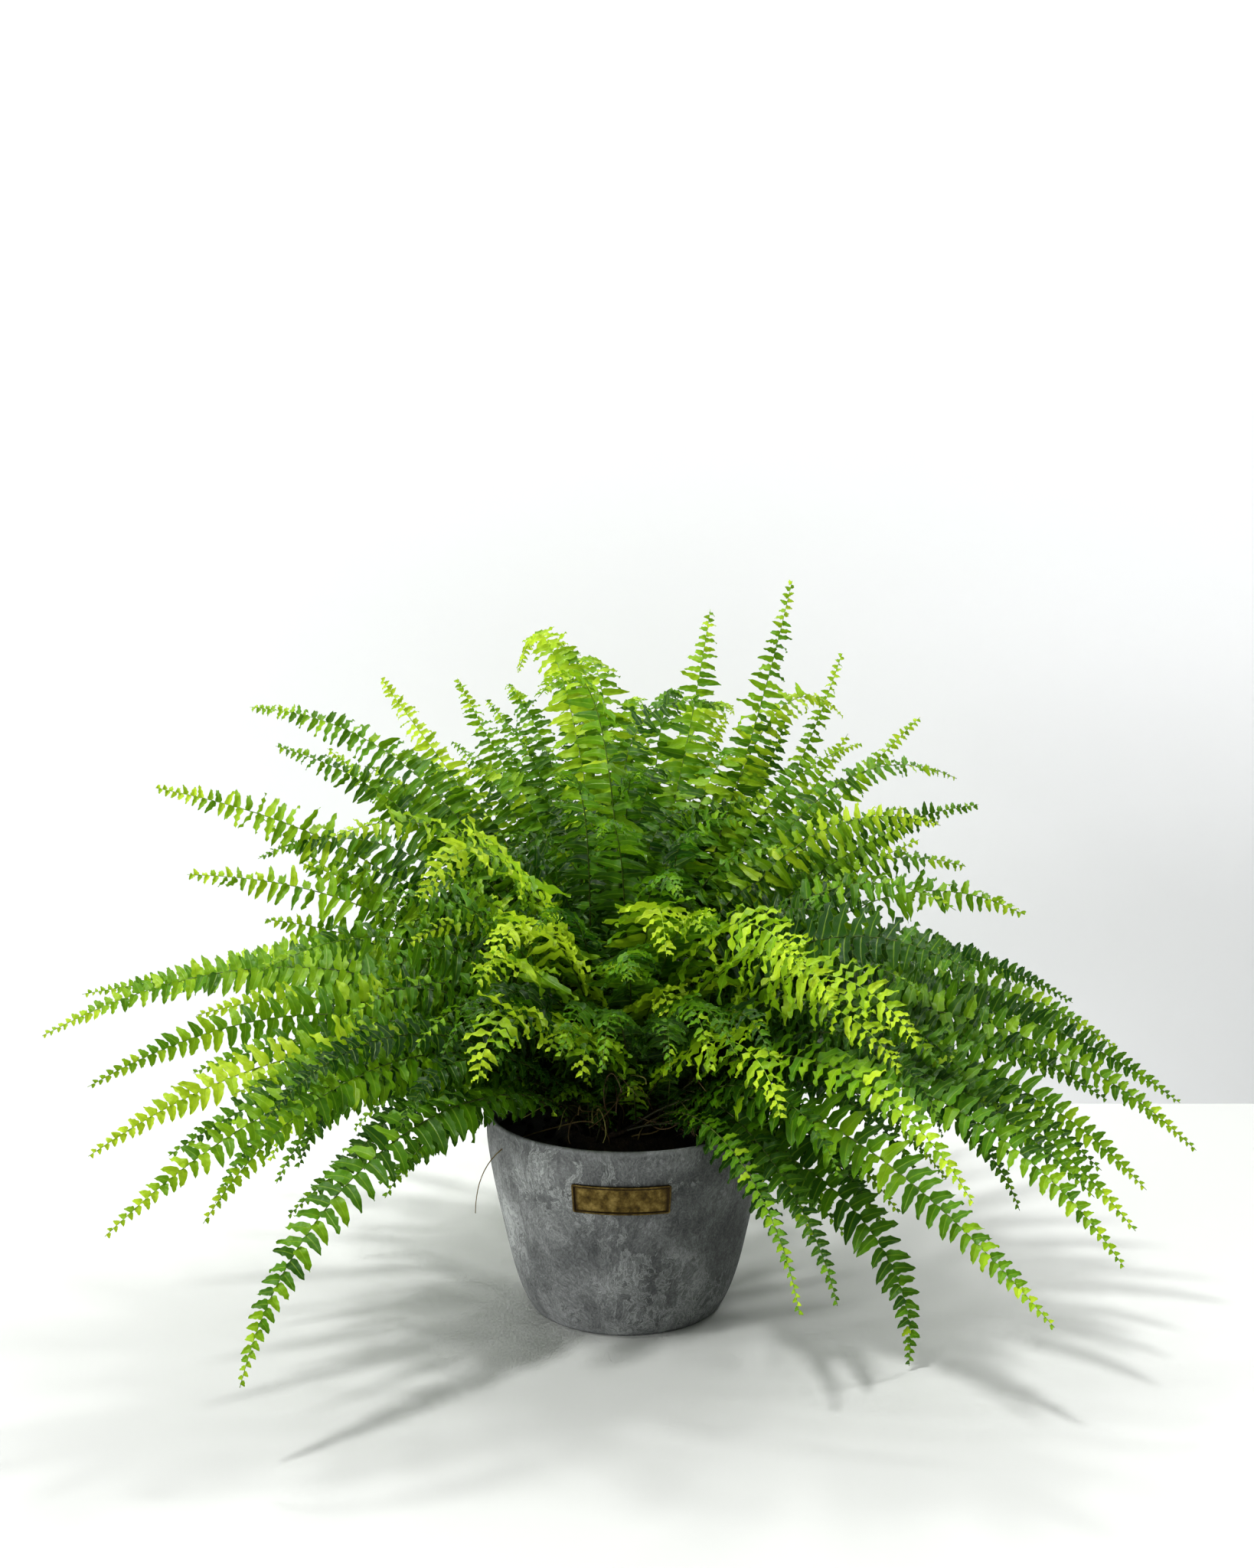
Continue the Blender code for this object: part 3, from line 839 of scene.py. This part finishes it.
def archedPath(seat, azimuth, reach, height, launch, droop, width, roll):
    # A frond's midrib as one Bezier arc from the crown to its tip. Angles are in degrees.
    def heading(turn, rise):
        return np.array((cosOf(rise) * cosOf(turn), cosOf(rise) * sinOf(turn), sinOf(rise)))

    start, tip = np.array(seat, float), heading(azimuth, 0.0) * reach + np.array((0.0, 0.0, height))
    out = tip - start
    span = np.linalg.norm(out)
    away = math.degrees(math.atan2(out[1], out[0]))
    rise, fall = start + heading(away, launch) * span * 0.42, tip - heading(away, droop) * span * 0.42
    t = np.linspace(0.0, 1.0, frond["steps"])[:, None]
    centres = (1 - t)**3 * start + 3 * (1 - t)**2 * t * rise + 3 * (1 - t) * t**2 * fall + t**3 * tip
    level = unit(np.array((-out[1], out[0], 0.0)))
    along = unit(np.gradient(centres, axis=0))
    side = unit(level - along * (along @ level)[:, None])
    side = turned(side, np.cross(along, side), np.radians(roll) * t**0.6)[0]
    share = np.clip((t[:, 0] - frond["bareShare"]) / (1.0 - frond["bareShare"]), 0.0, 1.0)
    halves = width / 2 * np.minimum(1.0, share / 0.3)**0.6 * (1.0 - share**2.6)**0.75
    return Path(centres, side, np.maximum(halves, frond["leastHalf"]))


def tapering(manner, share):
    # The leaflets get shorter well before the tip.
    return 1.0 - manner["taper"] * np.clip((share - 0.45) / 0.55, 0.0, 1.0)


def placeLeaflets(path, rng, manner):
    # Points of every leaflet of a frond, as (leaflet, point, 3), with each leaflet's share along the frond.
    loose = manner["loose"]
    distances = []
    place = path.length * frond["bareShare"]
    while place < path.length * 0.995:
        share = place / path.length
        distances.append(place)
        half = float(np.interp(place, path.run, path.halves)) * tapering(manner, share)
        wide = min(1.0, half / frond["fullHalfWidth"])
        place += frond["tipSpacing"] + (manner["spacing"] - frond["tipSpacing"]) * wide
    distances = np.array(distances)
    count = len(distances)
    share = distances / path.length
    sign = np.where(np.arange(count) % 2 == 0, 1.0, -1.0)[:, None]
    centre = path.at(path.centres, distances)
    along, side, up = (unit(path.at(rows, distances)) for rows in (path.along, path.side, path.up))
    half = np.interp(distances, path.run, path.halves) * tapering(manner, share)

    first, last = manner["lean"]
    lean = np.radians(first + (last - first) * share**2 + rng.normal(0, 4.0 * loose, count))
    length = np.maximum(half, 0.0032) / np.cos(lean) * (manner["longer"] + rng.normal(0, 0.06, count))
    width = (frond["leastWidth"] + length * frond["plumpness"]) * manner["plump"]
    width = np.minimum(width * (1 + rng.normal(0, 0.06, count)), length * 0.95)
    outward, tipward = turned(side * sign, along, lean[:, None])

    # each leaflet turns about its own axis, so that a frond is shingled and never flat
    turn = np.radians(rng.normal(manner["twist"] * 0.6, manner["twist"] * 0.6 * loose, count))[:, None]
    tipward, normal = turned(tipward, up, turn)
    lift = np.radians(rng.normal(6.0, 7.0 * loose, count))[:, None]
    outward, normal = turned(outward, normal, lift)

    curl = np.radians(np.clip(rng.normal(manner["curl"], manner["curl"] * 0.5 * loose, count), -25.0, 150.0))
    sickle = np.radians(rng.normal(manner["sickle"], 7.0, count))
    sag = manner["sag"] * np.clip(rng.normal(1.0, 0.35, count), 0.2, 2.0)
    spines, broad, raised = [], [], []
    here, previous = centre, 0.0
    for row in leafletRows:
        facing = turned(outward, tipward, (sickle * row)[:, None])[0]
        facing = turned(facing, -normal, (curl * row**1.4)[:, None])[0]
        facing = unit(facing + np.array((0.0, 0.0, -1.0)) * (sag * row)[:, None])
        here = here + facing * (length * (row - previous))[:, None]
        previous = row
        wide = unit(tipward - facing * (tipward * facing).sum(1, keepdims=True))
        roll = (np.radians(10.0) * row * np.where(np.arange(count) % 3 == 0, 1.0, -0.5))[:, None]
        lifted = np.cross(facing, wide)
        lifted = lifted * np.sign((lifted * normal).sum(1, keepdims=True) + 1e-9)
        wide, lifted = turned(wide, lifted, roll)
        spines.append(here)
        broad.append(wide)
        raised.append(lifted)
    spines, broad, raised = (np.stack(rows, axis=1)[:, rowOf] for rows in (spines, broad, raised))

    x = leafletShape[:, 0][None, :]
    toTip = -sign * leafletShape[:, 1][None, :]
    outline = np.where(toTip > 0, np.interp(x, *zip(*tipwardOutline)), np.interp(x, *zip(*stemwardOutline)))
    grown = np.clip((length / 0.010)[:, None] - 0.6, 0.0, 1.0)  # small leaflets are plain pointed teeth
    tooth = 1.1 * np.clip(1.0 - x, 0.0, 1.0)**0.75 * np.minimum(1.0, 0.5 + 5.0 * x) + 0.03
    outline = outline * grown + tooth * (1.0 - grown)
    notch = 1.0 - frond["notch"] * (rowOf % 2)[None, :]
    reach = toTip * outline * notch * width[:, None] / 2
    phase = rng.uniform(0, math.tau, count)[:, None]
    waves = rng.uniform(2.0, 2.9, count)[:, None]
    edge = np.abs(toTip)**1.5
    ruffle = manner["ruffle"] * np.minimum(1.0, length / 0.02)[:, None]
    wave = np.sin(math.tau * waves * x + phase + toTip * 1.1) * edge * ruffle * np.minimum(1.0, 6 * x)
    trough = manner["trough"] * np.abs(reach) * rng.uniform(0.2, 1.8, count)[:, None]
    points = spines + broad * reach[..., None] + raised * (wave + trough)[..., None]
    points[..., 2] = np.maximum(points[..., 2], 0.0008)
    return points, share


def rodPoints(path, rod, thick):
    # A template's rod, bent along the midrib.
    distance = rod[:, 0] * path.length
    centre, side, up = (path.at(rows, distance) for rows in (path.centres, path.side, path.up))
    return centre + (unit(side) * rod[:, 1:2] + unit(up) * rod[:, 2:3]) * thick


def makeFronds(name, paths, replaced=()):
    # One piece from several (path, manner, seed) fronds: first the stalks, then every leaflet.
    shape = bmesh.new()
    places, tones = [], []
    share = stalkRod[:, 0]
    thick = np.interp(share, (0.0, 0.2, 1.0), frond["stalkRadius"])[:, None]
    for path, manner, _ in paths:
        shape.from_mesh(stalkTemplate)
        places.append(rodPoints(path, stalkRod, thick))
        tones.append(np.clip(0.04 + share**0.7 * 0.95 * (0.4 + manner["tone"] * 0.6), 0, 1))
    stalkFaces = len(shape.faces)
    for path, manner, seed in paths:
        rng = np.random.default_rng(seed)
        manner = manner | {"tone": manner["tone"] + rng.normal(0, manner["odd"])}
        points, share = placeLeaflets(path, rng, manner)
        for _ in range(len(points)):
            shape.from_mesh(leafletTemplate)
        places.append(points.reshape(-1, 3))
        each = manner["tone"] + 0.30 * (share - 0.5) + 0.16 * (share > 0.9) + rng.normal(0, 0.12, len(points))
        tones.append(np.repeat(np.clip(each, 0, 1), points.shape[1]))
    shape.faces.ensure_lookup_table()
    for index in range(stalkFaces):
        shape.faces[index].material_index = 1
    setPoints(makePiece(name, shape, [leaf, stalk], replaced), places, tones)


def makeMany(name, settings, frondOf, rng):
    # Several pieces from the (path, manner) fronds that frondOf(rng, index) gives, where it gives one.
    paths = []
    for index in range(settings["count"]):
        made = frondOf(rng, index)
        if made:
            paths.append((*made, settings["firstSeed"] + index))
    size = settings["inOnePiece"]
    for first in range(0, len(paths), size):
        makeFronds(name + (str(first // size + 1) if len(paths) > size else ""), paths[first:first + size])


def drawnArc(rng, settings, seat, turn, reach, height):
    # An arc whose launch, droop, width and roll are drawn in this order.
    launch, droop, width = (rng.uniform(*settings[size]) for size in ("launch", "droop", "width"))
    facing, most = settings["roll"]  # the turn of a side frond to the front, and the most that is drawn
    roll = facing * cosOf(turn) + (rng.uniform(-most, most) if most else 0.0)
    return archedPath(seat, turn, reach, height, launch, droop, width, roll)


# tone: 0 dark and old, 1 bright and young. odd: how much fronds differ in it. spacing: between leaflets, which
# stand left and right in turn. lean: degrees towards the tip, low down and at the end. taper: how much the blade
# narrows from its middle on.
mannerParts = ("tone", "odd", "loose", "spacing", "lean", "curl", "sag", "sickle", "twist", "taper", "plump",
               "ruffle", "trough", "longer")
manners = {
    "low": (0.46, 0.16, 1.1, 0.0056, (2, 24), 20, 0.12, 14, 14, 0.34, 0.94, 0.0018, 0.26, 1.00),
    "mound": (0.52, 0.17, 1.6, 0.0058, (-4, 22), 36, 0.55, 8, 24, 0.10, 0.72, 0.0016, 0.36, 1.18),
    "nodding": (0.88, 0.12, 1.8, 0.0060, (-6, 20), 26, 0.30, 18, 20, 0.04, 0.66, 0.0022, 0.32, 1.30),
    "dark": (0.03, 0.0, 0.8, 0.0066, (0, 16), 8, 0.04, 6, 6, 0.0, 1.12, 0.0030, 0.08, 1.05),
}
manners = {kind: dict(zip(mannerParts, values)) for kind, values in manners.items()}

placing = {
    "darkTip": np.array((0.24, -0.16, 0.30)),  # the one old frond at the front right
    "darkWithin": 0.05,
    "moundAbove": 0.29,
    "noddingFront": 0.68,  # how squarely at the front a frond nods
    "noddingReach": 0.31,
    "noddingHeight": (0.12, 0.42),
    "paleAbove": 0.40,
    "paler": 0.10,
    "faceForward": 22.0,  # degrees that side fronds turn to the front, times the number for their kind
    "timesHigh": 1.0,
    "timesLow": 1.7,
    "timesDark": 2.5,
}


def gapToDark(tip):
    return np.linalg.norm(tip - placing["darkTip"])


def mannerLike(kind, paler):
    return manners[kind] | {"tone": manners[kind]["tone"] + paler}


def mannerOf(tip, paler=0.0):
    radius = math.hypot(tip[0], tip[1])
    least, most = placing["noddingHeight"]
    if gapToDark(tip) < placing["darkWithin"]:
        return mannerLike("dark", paler)
    atFront = -tip[1] / radius > placing["noddingFront"] and radius < placing["noddingReach"]
    if atFront and least < tip[2] < most:
        return mannerLike("nodding", paler)
    if tip[2] > placing["moundAbove"]:
        return mannerLike("mound", paler + (placing["paler"] if tip[2] > placing["paleAbove"] else 0.0))
    return mannerLike("low", paler)


bases, mainPaths = [], []
for number, name in enumerate(sorted(name for name in nodes if name.startswith("frond_"))):
    path = cadPath(nodes[name])
    tip = path.centres[-1]
    more = placing["timesHigh"] if tip[2] > placing["moundAbove"] else placing["timesLow"]
    more = placing["timesDark"] if gapToDark(tip) < placing["darkWithin"] else more
    path = rolled(path, more * placing["faceForward"] * tip[0] / math.hypot(tip[0], tip[1]))
    mainPaths.append(path)
    bases.append((path.centres[0], path.along[0]))
    makeFronds("leafy" + name.capitalize().replace("_", ""), [(path, mannerOf(tip), 100 + number)], [name])
print("fronds made:", len(mainPaths))

# Fronds between the main ones: some seen by themselves, then young and old ones that fill the middle. The
# companion and inner fronds are drawn darker, as painted shade.

darkFrond = min(mainPaths, key=lambda path: gapToDark(path.centres[-1]))
darkView = {
    "from": 0.5,  # share of the old frond, from the crown, that nothing else may cover
    "towards": (0.0, -0.05, 0.035),
    "clear": 0.055,
}


def hidesDarkFrond(path):
    outer = darkFrond.centres[int(darkView["from"] * frond["steps"]):] + np.array(darkView["towards"])
    return lengths(path.centres[:, None] - outer[None]).min() < darkView["clear"]


def crownSeat(spread, degrees):
    low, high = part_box("crown")
    height = low.z + (high.z - low.z) * math.sqrt(1.0 - (spread / high.x)**2)
    return spread * cosOf(degrees), spread * sinOf(degrees), height


companions = {
    "count": 70,  # at most: there may be fewer pairs
    "furthest": 0.15,  # between the tips of the two fronds that one lies between
    "front": 0.6,  # none between low fronds before the planter
    "frontHeight": 0.22,
    "fromDark": 0.06,
    "mix": (0.3, 0.7),
    "trim": (0.62, 0.92),
    # how much darker a companion is drawn: painted shade, as it lies beneath the main fronds
    "darker": (0.0, 0.32),
    "firstSeed": 500,
    "inOnePiece": 9,
}


def isLowInFront(tip):
    squarely = -tip[1] > companions["front"] * math.hypot(tip[0], tip[1])
    return squarely and tip[2] < companions["frontHeight"]


def makeCompanions():
    rng = np.random.default_rng(31)
    pairs = []
    for pair in combinations(mainPaths, 2):
        tips = [path.centres[-1] for path in pair]
        near = np.linalg.norm(tips[0] - tips[1]) < companions["furthest"]
        fromDark = min(gapToDark(tip) for tip in tips) > companions["fromDark"]
        if near and fromDark and not any(isLowInFront(tip) for tip in tips):
            pairs.append(pair)
    order = rng.permutation(len(pairs))

    def companion(rng, index):
        if index >= len(pairs):
            return None
        mix, trim = rng.uniform(*companions["mix"]), rng.uniform(*companions["trim"])
        path = pathBetween(*pairs[order[index]], mix, trim)
        # the darker tone is painted shade
        paler = -rng.uniform(*companions["darker"])
        return None if hidesDarkFrond(path) else (path, mannerOf(path.centres[-1], paler))

    makeMany("companionFronds", companions, companion, rng)


makeCompanions()

seenFronds = [
    # azimuth, reach, height, launch, droop, width
    (88, 0.280, 0.455, 74, -10, 0.052),
    (245, 0.220, 0.310, 76, -50, 0.052),
    (283, 0.140, 0.257, 82, -62, 0.050),
    (-20, 0.255, 0.330, 72, -30, 0.054),
    (315, 0.264, 0.237, 70, -50, 0.050),
]

filling = {
    "count": 80,
    "reach": (0.07, 0.30),  # of those in the middle and of the outermost, and so the next two
    "height": (0.45, 0.17),
    "launch": (86, 60),
    "droop": (-8, -58),
    "frontReach": 0.21,  # none hangs down before the planter
    "frontHeight": 0.245,
    "width": (0.036, 0.056),
    "seat": (0.005, 0.040),
    # the inner fronds are drawn darker than the mound: painted shade for the deep inside of the plant
    "paler": (-0.54, -0.22),
    "firstSeed": 400,
    "inOnePiece": 10,
}


def makeFilling():
    rng = np.random.default_rng(21)
    paths = []
    for index, (azimuth, *arc) in enumerate(seenFronds):
        path = archedPath(crownSeat(0.022, azimuth), azimuth, *arc, 60.0 * cosOf(azimuth) + rng.uniform(-12, 12))
        paths.append((path, mannerOf(path.centres[-1]), 300 + index))
    makeFronds("betweenFronds", paths)
    makeMany("innerFronds", filling, innerFrond, rng)


def innerFrond(rng, index):
    turn = math.degrees(index * goldenTurn)
    share = (index + 0.5) / filling["count"]
    reach = between(filling["reach"], share**0.7)
    height = between(filling["height"], share**0.8) * rng.uniform(0.85, 1.06)
    if sinOf(turn) < -0.6:
        reach, height = min(reach, filling["frontReach"]), max(height, filling["frontHeight"])
    width = rng.uniform(*filling["width"])
    seat = crownSeat(rng.uniform(*filling["seat"]), turn + rng.uniform(-40, 40))
    launch = between(filling["launch"], share) + rng.uniform(-5, 5)
    droop = between(filling["droop"], share) + rng.uniform(-15, 10)
    path = archedPath(seat, turn, reach, height, launch, droop, width, 55.0 * cosOf(turn) + rng.uniform(-25, 25))
    # its darker tone is painted shade for the inside of the mound
    manner = mannerLike("mound", rng.uniform(*filling["paler"]))
    if hidesDarkFrond(path):
        return None
    bases.append((path.centres[0], path.along[0]))
    return path, manner


makeFilling()

skirt = {
    "count": 46,
    "azimuths": ((150.0, 236.0), (-62.0, 30.0)),  # left and right of the planter
    "reach": (0.17, 0.33),
    "frontReach": 0.24,
    "height": (0.070, 0.215),
    "launch": (48, 66),
    "droop": (-72, -40),
    "width": (0.036, 0.054),
    "roll": (60.0, 0.0),
    "seat": (0.020, 0.045),
    # the darker tone is partly age and partly painted shade
    "paler": (-0.46, -0.10),
    "firstSeed": 800,
    "inOnePiece": 12,
}


def skirtFrond(rng, index):
    # An old frond that hangs low beside the planter, in the shade of the others. Its darker tone is partly age
    # and partly painted shade.
    turn = rng.uniform(*skirt["azimuths"][index % 2])
    reach, height = rng.uniform(*skirt["reach"]), rng.uniform(*skirt["height"])
    seat = crownSeat(rng.uniform(*skirt["seat"]), turn)
    reach = min(reach, skirt["frontReach"]) if sinOf(turn) < -0.7 else reach
    path = drawnArc(rng, skirt, seat, turn, reach, height)
    return path, mannerLike("low", rng.uniform(*skirt["paler"]))


makeMany("skirtFronds", skirt, skirtFrond, np.random.default_rng(71))

crest = {
    "count": 30,
    "azimuths": (5.0, 178.0),
    "reach": (0.20, 0.32),
    "height": (0.36, 0.47),  # at the sides and in the middle
    "launch": (62, 80),
    "droop": (-35, 40),
    "width": (0.044, 0.060),
    "roll": (50.0, 20.0),
    "seat": (0.010, 0.035),
    "paler": (-0.26, 0.12),
    "firstSeed": 700,
    "inOnePiece": 15,
}


def crestFrond(rng, index):
    # It stands up behind, and with the others closes the top of the mound.
    share = (index * goldenTurn / math.tau) % 1.0
    turn = between(crest["azimuths"], share)
    height = between(crest["height"], math.sin(math.pi * share)) + rng.uniform(-0.045, 0.008)
    seat = crownSeat(rng.uniform(*crest["seat"]), turn)
    path = drawnArc(rng, crest, seat, turn, rng.uniform(*crest["reach"]), height)
    return path, mannerLike("mound", rng.uniform(*crest["paler"]))


makeMany("crestFronds", crest, crestFrond, np.random.default_rng(51))

rimFronds = {
    "count": 40,
    "spread": 62,  # degrees either side of the front that most stand in
    "reach": (0.075, 0.150),
    "height": (0.150, 0.225),
    "frontReach": 0.092,
    "frontLift": 0.018,
    "launch": (40, 80),
    "droop": (-75, -10),
    "width": (0.018, 0.034),
    "roll": (0.0, 35.0),
    "seat": (0.020, 0.050),
    "paler": (-0.35, 0.05),
    "firstSeed": 600,
    "inOnePiece": 40,
}


def rimFrond(rng, index):
    # A short young frond that stands beside the crown and hides the soil. Most are at the front.
    turn = rng.normal(270, rimFronds["spread"]) if index % 4 else rng.uniform(0, 360)
    reach, height = rng.uniform(*rimFronds["reach"]), rng.uniform(*rimFronds["height"])
    if sinOf(turn) < -0.55:
        reach, height = min(reach, rimFronds["frontReach"]), height + rimFronds["frontLift"]
    seat = crownSeat(rng.uniform(*rimFronds["seat"]), turn + rng.uniform(-35, 35))
    path = drawnArc(rng, rimFronds, seat, turn, reach, height)
    return path, mannerLike("mound", rng.uniform(*rimFronds["paler"]))


makeMany("rimFronds", rimFronds, rimFrond, np.random.default_rng(41))
print("inner fronds made")

runners = {
    "count": 46,
    "steps": 30,
    "spread": 55,
    "reach": (0.085, 0.165),
    "height": (0.135, 0.205),
    "frontReach": 0.100,
    "frontHeight": 0.160,
    "launch": (15, 70),
    "droop": (-60, 15),
    "seat": (0.020, 0.050),
    "radius": (0.00032, 0.00060),
    "wobble": 0.0045,
    # where some end beside the wall
    "hanging": ((-0.1085, -0.052, 0.090), (0.106, -0.062, 0.112), (0.117, 0.010, 0.085)),
    "hangingReach": 0.012,
    "hangingAngles": (78, -86),
}


def makeRunners():
    # Wiry shoots that leave the crown without leaflets and creep over the rim.
    rng = np.random.default_rng(61)
    shape = bmesh.new()
    places, tones = [], []
    template = makeRodTemplate("runnerTemplate", runners["steps"] - 1, 5)
    rod = meshPoints(template)
    for index in range(runners["count"]):
        turn = rng.normal(270, runners["spread"]) if index % 3 else rng.uniform(0, 360)
        reach, height = rng.uniform(*runners["reach"]), rng.uniform(*runners["height"])
        if sinOf(turn) < -0.55:
            reach, height = min(reach, runners["frontReach"]), max(height, runners["frontHeight"])
        launch, droop = rng.uniform(*runners["launch"]), rng.uniform(*runners["droop"])
        if index < len(runners["hanging"]):
            across, depth, height = runners["hanging"][index]
            turn = math.degrees(math.atan2(depth, across))
            reach = math.hypot(across, depth) + runners["hangingReach"]
            launch, droop = runners["hangingAngles"]
        seat = crownSeat(rng.uniform(*runners["seat"]), turn + rng.uniform(-50, 50))
        path = archedPath(seat, turn, reach, height, launch, droop, 0.01, 0.0)
        phase = rng.uniform(0, 9, 3)
        sway = np.stack([np.sin(rod[:, 0] * 7.0 * (1 + axis * 0.3) + phase[axis]) for axis in range(2)], axis=-1)
        sway = sway * (runners["wobble"] * np.minimum(1.0, rod[:, 0] * 4.0))[:, None]
        thick = rng.uniform(*runners["radius"]) * np.interp(rod[:, 0], (0.0, 1.0), (1.3, 0.7))[:, None]
        bent = np.hstack([rod[:, :1], rod[:, 1:] * thick + sway])
        shape.from_mesh(template)
        places.append(rodPoints(path, bent, 1.0))
        tones.append(np.full(len(rod), rng.uniform(0.1, 0.9)))
    skin = hairyMaterial("runnerSkin", 0.7, 260.0, 0.35, [
        (0.15, (0.055, 0.032, 0.014)), (0.55, (0.16, 0.105, 0.040)), (0.95, (0.24, 0.26, 0.060))],
        0.0007, 0.9, 0.6, 0.0003)
    setPoints(makePiece("wiryRunners", shape, [skin], ()), places, tones)


makeRunners()
print("runners made")
makeCrown(bases)

meshes = [thing.data for thing in bpy.data.objects if thing.type == "MESH" and not thing.hide_render]
print("triangles:", sum(len(face.vertices) - 2 for mesh in meshes for face in mesh.polygons))
